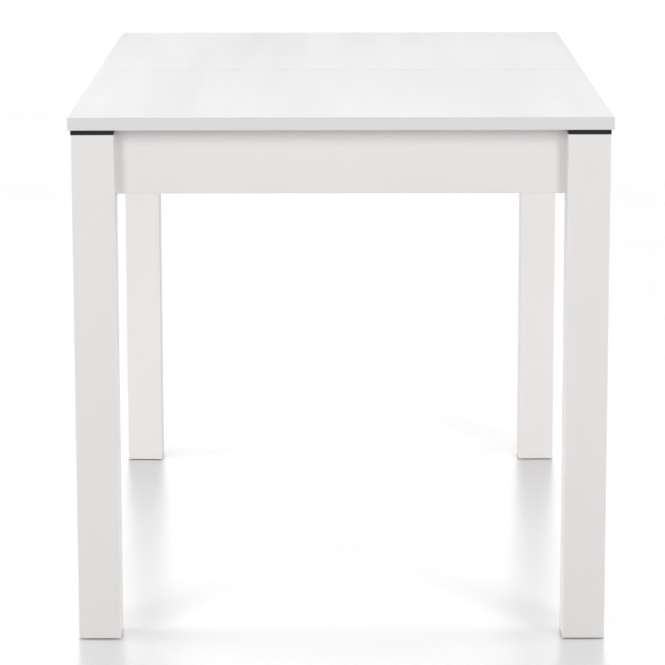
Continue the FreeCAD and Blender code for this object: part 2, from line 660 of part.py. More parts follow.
SEAM_PLACES = ("-dowel_spacing", "0", "dowel_spacing")
DOWEL_HOLE = "dowel_radius + fit_gap"
SLIP_HOLE = "dowel_radius + seam_play"


def make_leaf():
    """The loose leaf, stored with its long side along Y, with its bands and dowels."""
    board = new_body("leaf_panel")
    sketch = new_sketch(board, "XY_Plane", "0")
    half_long = "(top_width / 2 - band_thick)"
    draw_box(sketch, ("-open_travel", f"-{half_long}"), ("open_travel", half_long))
    add_pad(board, sketch, "top_thick")
    places = [(y, "top_thick / 2") for y in SEAM_PLACES]
    add_holes(board, "YZ_Plane", "-open_travel", places, SLIP_HOLE, "seam_reach + 1", 1)
    add_holes(board, "YZ_Plane", "open_travel", places, DOWEL_HOLE, "seam_hold", -1)
    bands = new_body("leaf_edge_bands")
    sketch = new_sketch(bands, "XY_Plane", "0")
    for end in (FRONT, REAR):
        inner, outer = f"{end} * {half_long}", f"{end} * top_width / 2"
        draw_box(sketch, ("-open_travel", inner), ("open_travel", outer))
    strips = add_pad(bands, sketch, "top_thick")
    edge_y = value("top_width / 2")

    def outside(edge):
        return runs_along(edge, "x") and near(abs(edge.CenterOfMass.y), edge_y)

    round_edges(bands, strips, "band_round", outside)
    dowels = new_body("leaf_dowels")
    start, length = "open_travel - seam_hold", "seam_hold + seam_reach"
    add_rods(dowels, "YZ_Plane", start, places, "dowel_radius", length, 1)
    for part in (board, bands, dowels):
        place(part, z="leaf_low")
        keep(part, part.Name)


# ---- the two halves of the top ----

BATTEN_MID = f"({BATTEN_X} - batten_thick / 2)"
BATTEN_SCREWS = (40, 130, 220, 305)  # along Y from the seam
RUNNER_SCREWS = (25, 90, 165, 245)  # along Y from the seam
RUNNER_SCREW_Z = "(rail_low + rail_tall / 2 + runner_neck / 2 + runner_plate_low + runner_plate_tall) / 2"
LOCK_SCREWS = [f"{side} * lock_place + {off} * lock_screw_off" for side in (-1, 1) for off in (-1, 1)]
LOCK_Y = {"front": "-lock_back", "rear": "lock_pin_ahead"}
HEAD_Z = f"({TOP_UNDER} - batten_tall + bore_deep)"


def make_half_top(end, sy):
    """Board of one half of the top, with the holes for everything under it and in its seam."""
    board = new_body(f"{end}_top")
    half_wide = "(top_width / 2 - band_thick)"
    sketch = new_sketch(board, "XY_Plane", "0")
    far = f"{sy} * (top_length / 2 - band_thick)"
    draw_box(sketch, (f"-{half_wide}", "0"), (half_wide, far))
    slab = add_pad(board, sketch, "top_thick")
    surface = value("top_thick")

    def at_seam(edge):
        return runs_along(edge, "x") and near(edge.CenterOfMass.y, 0) and near(edge.BoundBox.ZMax, surface)

    bevel_edges(board, slab, "seam_ease", at_seam)
    screws = [(f"{side} * {BATTEN_MID}", f"{sy * y}") for side in (LEFT, RIGHT) for y in BATTEN_SCREWS]
    screws += [(x, LOCK_Y[end]) for x in LOCK_SCREWS]
    add_pilots(board, "XY_Plane", "0", screws, "bite", 1)
    seam = [(x, "top_thick / 2") for x in SEAM_PLACES]
    if end == "front":
        add_holes(board, "XZ_Plane", "0", seam, DOWEL_HOLE, "seam_hold", sy)
    else:
        add_holes(board, "XZ_Plane", "0", seam, SLIP_HOLE, "seam_reach + 1", sy)
    place(board, z=TOP_UNDER)
    keep(board, f"{end}_top")


def make_top_band(end, sy):
    """Edge band round the three outer sides of one half, with eased corners and edges."""
    body = new_body(f"{end}_top_band")
    sketch = new_sketch(body, "XY_Plane", "0")
    out_x, in_x = "top_width / 2", "(top_width / 2 - band_thick)"
    out_y, in_y = f"{sy} * top_length / 2", f"{sy} * (top_length / 2 - band_thick)"
    left = [(f"-{out_x}", "0"), (f"-{out_x}", out_y)]
    back = [(f"-{in_x}", in_y), (f"-{in_x}", "0")]
    right = [(out_x, out_y), (out_x, "0"), (in_x, "0"), (in_x, in_y)]
    draw_outline(sketch, left + right + back)
    band = add_pad(body, sketch, "top_thick")
    edge_x, edge_y = value(out_x), value("top_length / 2")

    def corner(edge):
        centre = edge.CenterOfMass
        return near(abs(centre.x), edge_x) and near(abs(centre.y), edge_y)

    rounded = round_edges(body, band, "corner_round", corner)

    def outside(edge):
        centre = edge.CenterOfMass
        level = near(edge.BoundBox.ZLength, 0)
        outer = abs(centre.x) > edge_x - 1.2 or abs(centre.y) > edge_y - 1.2
        return level and outer and abs(centre.y) > 1

    round_edges(body, rounded, "band_round", outside)
    place(body, z=TOP_UNDER)
    keep(body, f"{end}_top_band")


def make_batten(end, side, sy, sx):
    """Hardwood batten screwed up into the top, which carries the runner on its outer face."""
    body = new_body(f"{end}_batten_{side}")
    sketch = new_sketch(body, "XY_Plane", "0")
    low = ("-batten_thick / 2", f"{sy} * batten_start")
    draw_box(sketch, low, ("batten_thick / 2", f"{sy} * batten_end"))
    bar = add_pad(body, sketch, "batten_tall")

    def low_edge(edge):
        return runs_along(edge, "y") and near(edge.BoundBox.ZMax, 0)

    round_edges(body, bar, "wood_ease", low_edge)
    screws = [("0", f"{sy * y}") for y in BATTEN_SCREWS]
    add_holes(body, "XY_Plane", "0", screws, "bore_radius", "bore_deep", 1)
    add_pilots(body, "XY_Plane", "bore_deep", screws, "batten_tall - bore_deep", 1)
    height = f"{RUNNER_SCREW_Z} - {TOP_UNDER} + batten_tall"
    pilots = [(f"{sy * y}", height) for y in RUNNER_SCREWS]
    add_pilots(body, "YZ_Plane", f"{sx} * batten_thick / 2", pilots, "bite", -sx)
    place(body, x=f"{sx} * {BATTEN_MID}", z=f"{TOP_UNDER} - batten_tall")
    keep(body, f"{end}_batten_{side}")


def make_runner(end, side, sy, sx):
    """Runner: a head inside the rail, a neck through its mouth and a plate on the batten."""
    body = new_body(f"{end}_runner_{side}")
    head_near, head_far = "(rail_deep - runner_head) / 2", "(rail_deep + runner_head) / 2"
    head_high = "(rail_tall / 2 - rail_sheet - shoe_play - shoe_wall)"
    plate_low = "(runner_plate_low - rail_low)"
    plate_high = "(runner_plate_low - rail_low + runner_plate_tall)"
    middle, plate_back = "rail_tall / 2", "runner_plate_off + runner_plate"
    outline = [
        (head_near, f"{middle} - {head_high}"), (head_near, f"{middle} + {head_high}"),
        (head_far, f"{middle} + {head_high}"), (head_far, f"{middle} + runner_neck / 2"),
        ("runner_plate_off", f"{middle} + runner_neck / 2"), ("runner_plate_off", plate_high),
        (plate_back, plate_high), (plate_back, plate_low), ("runner_plate_off", plate_low),
        ("runner_plate_off", f"{middle} - runner_neck / 2"),
        (head_far, f"{middle} - runner_neck / 2"), (head_far, f"{middle} - {head_high}"),
    ]
    sketch = new_sketch(body, "XZ_Plane", f"{sy} * runner_start")
    draw_outline(sketch, [(f"{-sx} * ({depth})", height) for depth, height in outline])
    add_pad(body, sketch, "runner_length", sy)
    screws = [(f"{sy * y}", f"{RUNNER_SCREW_Z} - rail_low") for y in RUNNER_SCREWS]
    add_pilots(body, "YZ_Plane", f"{-sx} * runner_plate_off", screws, "runner_plate", -sx)
    place(body, x=f"{sx} * {APRON_X}", z="rail_low")
    keep(body, f"{end}_runner_{side}")


def make_shoes(end, sy):
    """Nylon shoes clipped round the heads of both runners, at each end of each runner."""
    body = new_body(f"{end}_shoes")
    low, high = "(rail_sheet + shoe_play)", "(rail_tall - rail_sheet - shoe_play)"
    back, front = "(rail_sheet + shoe_play)", "(rail_deep - rail_sheet - shoe_play)"
    head_near, head_far = "(rail_deep - runner_head) / 2", "(rail_deep + runner_head) / 2"
    head_low, head_high = f"({low} + shoe_wall)", f"({high} - shoe_wall)"
    neck_low, neck_high = "(rail_tall - runner_neck) / 2", "(rail_tall + runner_neck) / 2"
    outline = [
        (front, neck_low), (front, low), (back, low), (back, high), (front, high), (front, neck_high),
        (head_far, neck_high), (head_far, head_high), (head_near, head_high), (head_near, head_low),
        (head_far, head_low), (head_far, neck_low),
    ]
    starts = ("runner_start", "(runner_start + runner_length - shoe_length)")
    for start in starts:
        sketch = new_sketch(body, "XZ_Plane", f"{sy} * {start}")
        for sx in (LEFT, RIGHT):
            draw_outline(sketch, [(f"{sx} * ({APRON_X} - {depth})", height) for depth, height in outline])
        add_pad(body, sketch, "shoe_length", sy)
    place(body, z="rail_low")
    keep(body, f"{end}_shoes")


def make_top_screws(end, sy):
    """Screws of one half: through the battens, the runners and the lock's plates."""
    body = new_body(f"{end}_top_screws")
    battens = [(f"{side} * {BATTEN_MID}", f"{sy * y}") for side in (LEFT, RIGHT) for y in BATTEN_SCREWS]
    add_screws(body, "XY_Plane", HEAD_Z, battens, "batten_tall - bore_deep + bite", 1)
    locks = [(x, LOCK_Y[end]) for x in LOCK_SCREWS]
    add_screws(body, "XY_Plane", f"{TOP_UNDER} - lock_plate", locks, "lock_plate + bite", 1)
    runners = [(f"{sy * y}", RUNNER_SCREW_Z) for y in RUNNER_SCREWS]
    for sx in (LEFT, RIGHT):
        add_screws(body, "YZ_Plane", f"{sx} * {PLATE_X}", runners, "runner_plate + bite", -sx)
    keep(body, f"{end}_top_screws")


def make_seam_dowels():
    """Wooden dowels in the front half's seam edge, which pull out of the rear half."""
    body = new_body("seam_dowels")
    places = [(x, "0") for x in SEAM_PLACES]
    add_rods(body, "XZ_Plane", "-seam_hold", places, "dowel_radius", "seam_hold + seam_reach", 1)
    place(body, z=SEAM_Z)
    keep(body, "seam_dowels")


# ---- turn-hook locks under the seam ----

LEVER_ROOM = "(lever_thick + 2 * lever_gap)"
LEVER_TOP = f"({TOP_UNDER} - lock_plate - collar_tall - lever_gap)"
HOOK_REACH = "(lock_back + lock_pin_ahead)"
SLOT_RADIUS = "(keeper_radius + keeper_play)"
SLOT_SWEEP = 20  # degrees of the slot from the pin to the open side of the hook
LOCK_SPOTS = [("-lock_place", "0"), ("lock_place", "0")]


def make_lock_plates(name):
    """The two screwed plates of one half, with their own origin in line with the pins."""
    body = new_body(name)
    sketch = new_sketch(body, "XY_Plane", "0")
    for side in (LEFT, RIGHT):
        left_x = f"{side} * lock_place - lock_plate_wide / 2"
        right_x = f"{side} * lock_place + lock_plate_wide / 2"
        draw_box(sketch, (left_x, "-lock_plate_long / 2"), (right_x, "lock_plate_long / 2"))
    add_pad(body, sketch, "lock_plate", -1)
    holes = [(x, "0") for x in LOCK_SCREWS]
    add_pilots(body, "XY_Plane", "0", holes, "lock_plate", -1)
    return body


def make_lock_bases():
    """Plates under the front half, each with a collar, a pivot and its rivet head."""
    body = make_lock_plates("lock_bases")
    levels = ["-lock_plate", "-(lock_plate + collar_tall)", f"-(lock_plate + collar_tall + {LEVER_ROOM})"]
    rods = [("collar_radius", "collar_tall"), ("pivot_radius", LEVER_ROOM), ("collar_radius", "rivet_thick")]
    for level, (radius, length) in zip(levels, rods):
        add_rods(body, "XY_Plane", level, LOCK_SPOTS, radius, length, -1)
    place(body, y="-lock_back", z=TOP_UNDER)
    keep(body, "lock_bases")


def make_lock_keepers():
    """Plates under the rear half, each with the pin that a hook catches."""
    body = make_lock_plates("lock_keepers")
    length = f"collar_tall + {LEVER_ROOM} + rivet_thick / 2"
    add_rods(body, "XY_Plane", "-lock_plate", LOCK_SPOTS, "keeper_radius", length, -1)
    place(body, y="lock_pin_ahead", z=TOP_UNDER)
    keep(body, "lock_keepers")


def make_lock_lever(side, sx):
    """Hook lever, shown open and pointing outwards. Its slot is an arc about its pivot."""
    body = new_body(f"lock_lever_{side}_arm")
    spots = [("0", "0"), (f"{sx} * {HOOK_REACH}", "0")]
    for spot in spots:
        add_rods(body, "XY_Plane", "0", [spot], "lever_radius", "lever_thick", -1)
    arm = new_sketch(body, "XY_Plane", "0")
    tip = f"{sx} * ({HOOK_REACH} + lever_thumb)"
    draw_box(arm, ("0", "-lever_wide / 2"), (tip, "lever_wide / 2"))
    add_pad(body, arm, "lever_thick", -1)
    thumb = new_sketch(body, "XY_Plane", "0")
    thumb_start = f"{sx} * ({HOOK_REACH} + lever_thumb - lever_thick)"
    draw_box(thumb, (thumb_start, "-lever_wide / 2"), (tip, "lever_wide / 2"))
    add_pad(body, thumb, "3 * lever_thick", -1)
    add_holes(body, "XY_Plane", "0", spots[:1], "pivot_radius + pivot_play", "lever_thick", -1)
    add_holes(body, "XY_Plane", "0", spots[1:], SLOT_RADIUS, "lever_thick", -1)
    sectors = []
    outer, inner = f"{HOOK_REACH} + {SLOT_RADIUS}", f"{HOOK_REACH} - {SLOT_RADIUS}"
    for name, radius in (("outer", outer), ("inner", inner)):
        sector = doc.addObject("Part::Cylinder", f"lock_slot_{side}_{name}")
        sector.setExpression("Radius", cell(radius))
        sector.setExpression("Height", cell("lever_thick"))
        sector.Angle = SLOT_SWEEP
        start = 0 if sx == RIGHT else 180 - SLOT_SWEEP
        sector.Placement = Placement(Vector(), Rotation(Vector(0, 0, 1), start))
        sectors.append(sector)
    pivot = (f"{sx} * lock_place", "-lock_back")
    place(body, *pivot, LEVER_TOP)
    for sector in sectors:
        place(sector, *pivot, f"{LEVER_TOP} - lever_thick")
    slot = cut(f"lock_slot_{side}", *sectors)
    keep(cut(f"lock_lever_{side}", body, slot), f"lock_lever_{side}")


# ---- the whole table ----

for corner, (sx, sy) in CORNERS.items():
    make_leg(corner, sx, sy)
    make_leg_pad(corner, sx, sy)
    make_foot_glide(corner, sx, sy)
    make_corner_bracket(corner, sx, sy)
make_bracket_fasteners()
make_apron_dowels()
for side, sx in SIDES.items():
    make_side_apron(side, sx)
    make_slide_rail(side, sx)
    make_lock_lever(side, sx)
make_rail_screws()
make_rail_stops()
make_bearer_angles()
make_leaf()
for end, sy in ENDS.items():
    make_end_apron(end, sy)
    make_leaf_bearer(end, sy)
    make_half_top(end, sy)
    make_top_band(end, sy)
    for side, sx in SIDES.items():
        make_batten(end, side, sy, sx)
        make_runner(end, side, sy, sx)
    make_shoes(end, sy)
    make_top_screws(end, sy)
make_seam_dowels()
make_lock_bases()
make_lock_keepers()
doc.recompute()

for item in doc.Objects:
    if "Invalid" in item.State or "Error" in item.State:
        raise RuntimeError(f"{item.Label} failed: {item.State}")
for part in sub_parts:
    if part.Shape.isNull() or not part.Shape.isValid():
        raise RuntimeError(f"{part.Label} has no valid shape")

os.makedirs("parts", exist_ok=True)
for part in sub_parts:
    part.Shape.exportStep(f"parts/{part.Label}.step")
    box = part.Shape.BoundBox
    print(f"{part.Label}: {len(part.Shape.Solids)} solids, {part.Shape.Volume / 1000:.1f} cm3,", box)
print(len(sub_parts), "sub-parts")
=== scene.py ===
import functools
import json
import math

import bmesh
import bpy
import numpy as np
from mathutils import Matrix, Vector


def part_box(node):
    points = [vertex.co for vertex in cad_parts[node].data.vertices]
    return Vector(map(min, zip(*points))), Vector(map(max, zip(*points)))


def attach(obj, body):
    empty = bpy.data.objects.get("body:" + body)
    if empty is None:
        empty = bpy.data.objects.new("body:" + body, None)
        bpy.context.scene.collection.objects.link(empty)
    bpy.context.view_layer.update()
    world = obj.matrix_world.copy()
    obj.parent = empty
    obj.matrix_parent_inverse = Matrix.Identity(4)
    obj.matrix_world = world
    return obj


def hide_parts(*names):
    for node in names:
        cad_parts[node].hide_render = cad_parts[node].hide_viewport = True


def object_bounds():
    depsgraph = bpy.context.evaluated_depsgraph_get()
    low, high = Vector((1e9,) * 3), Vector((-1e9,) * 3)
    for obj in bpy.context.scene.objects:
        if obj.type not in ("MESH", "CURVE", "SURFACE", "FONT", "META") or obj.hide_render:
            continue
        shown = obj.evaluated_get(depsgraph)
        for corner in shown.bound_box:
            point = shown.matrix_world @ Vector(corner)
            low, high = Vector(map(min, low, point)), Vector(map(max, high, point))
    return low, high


# Looks of the extending table: materials for every CAD node, turned fasteners and dowels in place
# of the plain ones, and a pale studio. Metres, +Z up, the front end faces -Y.

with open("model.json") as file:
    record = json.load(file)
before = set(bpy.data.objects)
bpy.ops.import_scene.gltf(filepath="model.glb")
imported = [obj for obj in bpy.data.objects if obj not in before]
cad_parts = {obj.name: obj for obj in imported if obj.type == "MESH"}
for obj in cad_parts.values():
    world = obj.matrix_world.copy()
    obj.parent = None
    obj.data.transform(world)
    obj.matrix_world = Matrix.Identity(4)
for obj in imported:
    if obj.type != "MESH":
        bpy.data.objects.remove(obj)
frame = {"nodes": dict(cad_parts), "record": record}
NODES = frame["nodes"]
BODIES = frame["record"]["behaviour"]["bodies"]
SLOTS = {part["node"]: part["material_slot"] for part in frame["record"]["subparts"]}
CAD_LOW, CAD_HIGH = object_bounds()
MM = 0.001


# ---- camera: seen from beyond the front end, above the top ----

CAMERA_BACK = 4.388  # from the table's front edge
CAMERA_ASIDE = -6 * MM
CAMERA_HEIGHT = 1.305
CAMERA_TILT = 11.06  # degrees below level
CAMERA_TURN = 0.06  # degrees to the left
CAMERA_ROLL = 0.1  # degrees
CAMERA_LENS = 173


def make_camera():
    camera = bpy.data.objects.new("camera", bpy.data.cameras.new("camera"))
    bpy.context.scene.collection.objects.link(camera)
    camera.data.lens = CAMERA_LENS
    camera.data.clip_end = 100
    camera.location = (CAMERA_ASIDE, CAD_LOW.y - CAMERA_BACK, CAMERA_HEIGHT)
    angles = (90 - CAMERA_TILT, CAMERA_ROLL, CAMERA_TURN)
    camera.rotation_euler = [math.radians(angle) for angle in angles]
    bpy.context.scene.camera = camera


# ---- building blocks of the materials ----


class Nodes:
    """A node tree under construction."""

    def __init__(self, tree):
        self.tree = tree

    def add(self, kind, settings=None, inputs=None):
        """A node with its settings, and its inputs set to numbers or joined to other nodes."""
        made = self.tree.nodes.new(kind)
        for name, setting in (settings or {}).items():
            setattr(made, name, setting)
        for name, given in (inputs or {}).items():
            self.give(made.inputs[name], given)
        return made

    def give(self, socket, given):
        if isinstance(given, bpy.types.NodeSocket):
            self.tree.links.new(given, socket)
        else:
            socket.default_value = given

    def maths(self, operation, first, second):
        made = self.add("ShaderNodeMath", {"operation": operation})
        self.give(made.inputs[0], first)
        self.give(made.inputs[1], second)
        return made.outputs[0]

    def dot(self, first, second):
        made = self.add("ShaderNodeVectorMath", {"operation": "DOT_PRODUCT"})
        self.give(made.inputs[0], first)
        self.give(made.inputs[1], second)
        return made.outputs["Value"]


class Finish(Nodes):
    """A procedural material under construction, in the table's own coordinates."""

    def __init__(self, name):
        self.material = bpy.data.materials.new(name)
        self.material.use_nodes = True
        super().__init__(self.material.node_tree)
        self.shader = self.tree.nodes["Principled BSDF"]
        self.place = self.add("ShaderNodeTexCoord").outputs["Object"]

    def noise(self, per_metre, detail=2.0, roughness=0.5):
        """Noise from 0 to 1 with a number of features per metre along X, Y and Z."""
        moved = self.add("ShaderNodeMapping", None, {"Vector": self.place, "Scale": per_metre})
        inputs = {"Vector": moved.outputs[0], "Scale": 1.0, "Detail": detail, "Roughness": roughness}
        return self.add("ShaderNodeTexNoise", None, inputs).outputs[0]

    def span(self, value, low, high, from_low=0.0, from_high=1.0):
        inputs = {"Value": value, "From Min": from_low, "From Max": from_high, "To Min": low, "To Max": high}
        return self.add("ShaderNodeMapRange", None, inputs).outputs[0]

    def mix(self, amount, first, second):
        """A colour between two colours."""
        made = self.add("ShaderNodeMix", {"data_type": "RGBA"}, {"Factor": amount})
        for socket, given in zip(made.inputs[6:8], (first, second)):
            self.give(socket, given if isinstance(given, bpy.types.NodeSocket) else (*given, 1.0))
        return made.outputs[2]

    def edges(self, radius):
        """1 on the object's edges, fading to 0 within this radius."""
        rounded = self.add("ShaderNodeBevel", {"samples": 4}, {"Radius": radius}).outputs[0]
        true = self.add("ShaderNodeNewGeometry").outputs["Normal"]
        return self.span(self.dot(rounded, true), 1.0, 0.0, 0.8, 1.0)

    def bump(self, height, depth, strength=1.0, soft_edge=None):
        """Surface relief of a depth in metres, on edges rounded by soft_edge."""
        inputs = {"Height": height, "Distance": depth, "Strength": strength}
        if soft_edge:
            edge = self.add("ShaderNodeBevel", {"samples": 4}, {"Radius": soft_edge})
            inputs["Normal"] = edge.outputs[0]
        relief = self.add("ShaderNodeBump", None, inputs)
        self.give(self.shader.inputs["Normal"], relief.outputs[0])

    def paint(self, colour, roughness):
        self.give(self.shader.inputs["Base Color"], colour)
        self.give(self.shader.inputs["Roughness"], roughness)

    def plain(self, **values):
        """Values that are the same all over, on the shader's own sockets."""
        for name, value in values.items():
            self.shader.inputs[name.replace("_", " ")].default_value = value


def stretched(across, along, axis):
    """Features per metre on X, Y and Z: few along the grain's axis and many across it."""
    return tuple(along if name == axis else across for name in "xyz")


def shaded(colour, by):
    return [channel * by for channel in colour]


# ---- the materials ----


def white_foil(name, axis, white, wear=0.0, seam=False):
    """White board or foil: fine pores along the grain, soft orange peel and a faint cloudy tone.
    A board with a seam has a thin grey line on its top face at Y = 0, broken here and there: the joint's own
    line together with painted shade standing in for the gap and small step between the two halves."""
    finish = Finish(name)
    pores = finish.noise(stretched(900, 22, axis), 3.0, 0.6)
    figure = finish.noise(stretched(26, 1.6, axis), 2.0)
    peel = finish.noise((650, 650, 650), 1.0)
    cloud = finish.noise((3.5, 3.5, 3.5), 2.0)
    deep_pore = finish.span(pores, 1.0, 0.0, 0.30, 0.44)
    tone = finish.mix(finish.span(cloud, 0.0, 1.0, 0.3, 0.7), white, shaded(white, 0.982))
    tone = finish.mix(finish.span(figure, 0.0, 0.35, 0.35, 0.65), tone, shaded(white, 0.965))
    tone = finish.mix(finish.maths("MULTIPLY", deep_pore, 0.10), tone, shaded(white, 0.80))
    if wear:
        rub = finish.maths("MULTIPLY", finish.edges(1.4 * MM), finish.noise((60, 60, 60), 3.0))
        tone = finish.mix(finish.maths("MULTIPLY", rub, wear), tone, (0.66, 0.64, 0.60))
    if seam:
        axes = finish.add("ShaderNodeSeparateXYZ", None, {"Vector": finish.place})
        aside = finish.maths("ABSOLUTE", axes.outputs["Y"], 0)
        top_face = finish.span(axes.outputs["Z"], 0.0, 1.0, CAD_HIGH.z - 0.9 * MM, CAD_HIGH.z - 0.5 * MM)
        # Painted shade: a thin dark line along the seam, for the shade in the gap and step between the two
        # halves.
        painted_seam_shade = finish.maths("MULTIPLY", finish.span(aside, 1.0, 0.0, 0.6 * MM, 1.3 * MM), top_face)
        broken = finish.span(finish.noise((14, 0, 0), 3.0, 0.7), 0.25, 1.0, 0.4, 0.6)
        tone = finish.mix(finish.maths("MULTIPLY", painted_seam_shade, broken), tone, (0.24, 0.23, 0.22))
    relief = finish.maths("ADD", finish.maths("MULTIPLY", peel, 0.45), finish.maths("MULTIPLY", pores, 0.55))
    finish.bump(relief, 0.05 * MM, 0.55)
    finish.paint(tone, finish.span(figure, 0.42, 0.56))
    finish.plain(Specular_IOR_Level=0.36)
    return finish.material


def white_band(name, white):
    """Plastic edge band: smooth, a touch glossier than the board, with faint trimming marks."""
    finish = Finish(name)
    chatter = finish.noise((500, 500, 60), 2.0)
    cloud = finish.noise((9, 9, 9), 2.0)
    tone = finish.mix(cloud, white, shaded(white, 0.975))
    finish.bump(chatter, 0.02 * MM, 0.6)
    finish.paint(tone, finish.span(chatter, 0.30, 0.42))
    finish.plain(Specular_IOR_Level=0.45)
    return finish.material


def moulded_plastic(name, colour, edge_colour, rough):
    """Moulded plastic with a fine spark-eroded grain and slightly rubbed edges."""
    finish = Finish(name)
    grain = finish.noise((2200, 2200, 2200), 2.0, 0.6)
    cloud = finish.noise((40, 40, 40), 3.0)
    tone = finish.mix(finish.span(cloud, 0.0, 0.5), colour, edge_colour)
    tone = finish.mix(finish.maths("MULTIPLY", finish.edges(0.6 * MM), 0.6), tone, edge_colour)
    finish.bump(grain, 0.04 * MM, 0.8, 0.5 * MM)
    finish.paint(tone, finish.span(grain, rough - 0.06, rough + 0.08))
    finish.plain(Specular_IOR_Level=0.3)
    return finish.material


def beech(name, axis):
    """Planed beech: straight grain with growth bands, and the short dark flecks of its rays."""
    finish = Finish(name)
    bands = finish.noise(stretched(170, 3.5, axis), 4.0, 0.6)
    fibres = finish.noise(stretched(1500, 40, axis), 2.0)
    fleck = finish.noise(stretched(900, 260, axis), 1.0)
    tone = finish.mix(finish.span(bands, 0.0, 1.0, 0.32, 0.68), (0.56, 0.36, 0.20), (0.72, 0.51, 0.32))
    tone = finish.mix(finish.maths("MULTIPLY", fibres, 0.35), tone, (0.50, 0.31, 0.17))
    tone = finish.mix(finish.span(fleck, 0.45, 0.0, 0.26, 0.36), tone, (0.36, 0.20, 0.10))
    tone = finish.mix(finish.maths("MULTIPLY", finish.edges(1.0 * MM), 0.3), tone, (0.78, 0.60, 0.42))
    finish.bump(finish.maths("ADD", fibres, fleck), 0.06 * MM, 0.5, 0.4 * MM)
    finish.paint(tone, finish.span(bands, 0.52, 0.68))
    finish.plain(Specular_IOR_Level=0.3)
    return finish.material


def zinc(name, axis, colour, rough, drawn):
    """Zinc-plated steel: cloudy plating, fine lines along the way it was drawn, and a painted highlight
    along the edges.
    """
    finish = Finish(name)
    lines = finish.noise(stretched(drawn, 14, axis), 3.0, 0.6)
    cloud = finish.noise((70, 70, 70), 3.0, 0.6)
    blue = (colour[0] * 0.88, colour[1] * 0.93, colour[2] * 1.0)
    tone = finish.mix(finish.span(cloud, 0.0, 1.0, 0.3, 0.7), colour, blue)
    # Painted highlight: the base colour goes near white along the edges, for the glint of rounded edges.
    tone = finish.mix(finish.maths("MULTIPLY", finish.edges(0.5 * MM), 0.7), tone, (0.86, 0.86, 0.85))
    finish.bump(lines, 0.03 * MM, 0.5, 0.4 * MM)
    uneven = finish.maths("ADD", finish.span(cloud, 0.0, 0.14), finish.span(lines, -0.04, 0.06))
    finish.paint(tone, finish.maths("ADD", uneven, rough))
    finish.plain(Metallic=1.0)
    return finish.material


def nylon(name):
    finish = Finish(name)
    flow = finish.noise((260, 40, 260), 3.0)
    tone = finish.mix(flow, (0.80, 0.79, 0.73), (0.72, 0.70, 0.63))
    finish.bump(flow, 0.05 * MM, 0.5, 0.4 * MM)
    finish.paint(tone, finish.span(flow, 0.38, 0.52))
    finish.plain(Subsurface_Weight=0.15, Subsurface_Scale=1.0 * MM)
    return finish.material


def rubber(name):
    finish = Finish(name)
    skin = finish.noise((900, 900, 900), 3.0, 0.7)
    dust = finish.noise((90, 90, 90), 4.0, 0.7)
    tone = finish.mix(finish.span(dust, 0.0, 1.0, 0.45, 0.8), (0.018, 0.018, 0.018), (0.075, 0.072, 0.068))
    finish.bump(skin, 0.08 * MM, 0.7, 0.5 * MM)
    finish.paint(tone, finish.span(skin, 0.66, 0.88))
    finish.plain(Specular_IOR_Level=0.25)
    return finish.material


BOARD_WHITE = (0.775, 0.768, 0.768)
LEG_WHITE = (0.794, 0.776, 0.769)
# Painted shade: the edge band's white is darker than the board's, so the top's upright edges look shaded.
SHADED_BAND_WHITE = (0.722, 0.713, 0.716)

# Slots whose look has a grain: what makes each one, and its values after the name and the axis.
GRAINED = {
    "white_board": (white_foil, BOARD_WHITE),
    "white_leg": (white_foil, LEG_WHITE, 0.35),
    "white_apron": (white_foil, LEG_WHITE, 0.25),
    "hardwood": (beech,),
    "rail_steel": (zinc, (0.60, 0.61, 0.62), 0.30, 900),
    "zinc_sheet": (zinc, (0.63, 0.63, 0.62), 0.34, 500),
    "zinc_fastener": (zinc, (0.66, 0.66, 0.65), 0.26, 300),
    "lock_steel": (zinc, (0.58, 0.585, 0.59), 0.32, 700),
}


@functools.cache
def grained(slot, axis):
    """One material for each slot and way of the grain, made when it is first needed."""
    maker, *values = GRAINED[slot]
    return maker(f"{slot}_{axis}", axis, *values)


OTHERS = {
    "white_band": white_band("white_band", SHADED_BAND_WHITE),
    "black_pad": moulded_plastic("black_pad", (0.010, 0.010, 0.0095), (0.030, 0.029, 0.027), 0.52),
    "grey_glide": moulded_plastic("grey_glide", (0.10, 0.10, 0.10), (0.17, 0.17, 0.165), 0.45),
    "nylon": nylon("nylon"),
    "stop_rubber": rubber("stop_rubber"),
}
TOP_BOARD = white_foil("white_top", "y", BOARD_WHITE, seam=True)
OWN = {"front_top": TOP_BOARD, "rear_top": TOP_BOARD, "leaf_panel": grained("white_board", "x")}


def longest_axis(low, high):
    spans = high - low
    return max(zip(spans, "xyz"))[1]


def material_of(node):
    """The node's own material, or its slot's, with the grain along the node's length."""
    slot = SLOTS[node]
    return OWN.get(node) or OTHERS.get(slot) or grained(slot, longest_axis(*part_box(node)))


# ---- fasteners and dowels, one finer piece for each CAD group ----


def separate_solids(node):
    """The corner points of each separate solid of a CAD node."""
    solid = bmesh.new()
    solid.from_mesh(NODES[node].data)
    bmesh.ops.remove_doubles(solid, verts=solid.verts, dist=0.001 * MM)
    left = set(solid.verts)
    groups = []
    while left:
        reached = [left.pop()]
        for vertex in reached:
            for edge in vertex.link_edges:
                other = edge.other_vert(vertex)
                if other in left:
                    left.remove(other)
                    reached.append(other)
        groups.append(np.array([vertex.co for vertex in reached]))
    solid.free()
    return sorted(groups, key=lambda points: tuple(points.mean(axis=0).round(4)))


def axis_of(points, flat=False):
    """The middle and the axis of a turned solid: its long way, or the short way if it is flat."""
    middle = (points.min(axis=0) + points.max(axis=0)) / 2
    ways = np.linalg.svd(points - points.mean(axis=0), full_matrices=False)[2]
    return middle, ways[2] if flat else ways[0]


def disc_of(points):
    """The start, the unit axis and the thickness of a nut or washer."""
    middle, axis = axis_of(points, flat=True)
    along = (points - middle) @ axis
    thick = float(along.max() - along.min())
    return Vector(middle - axis * thick / 2), Vector(axis), thick


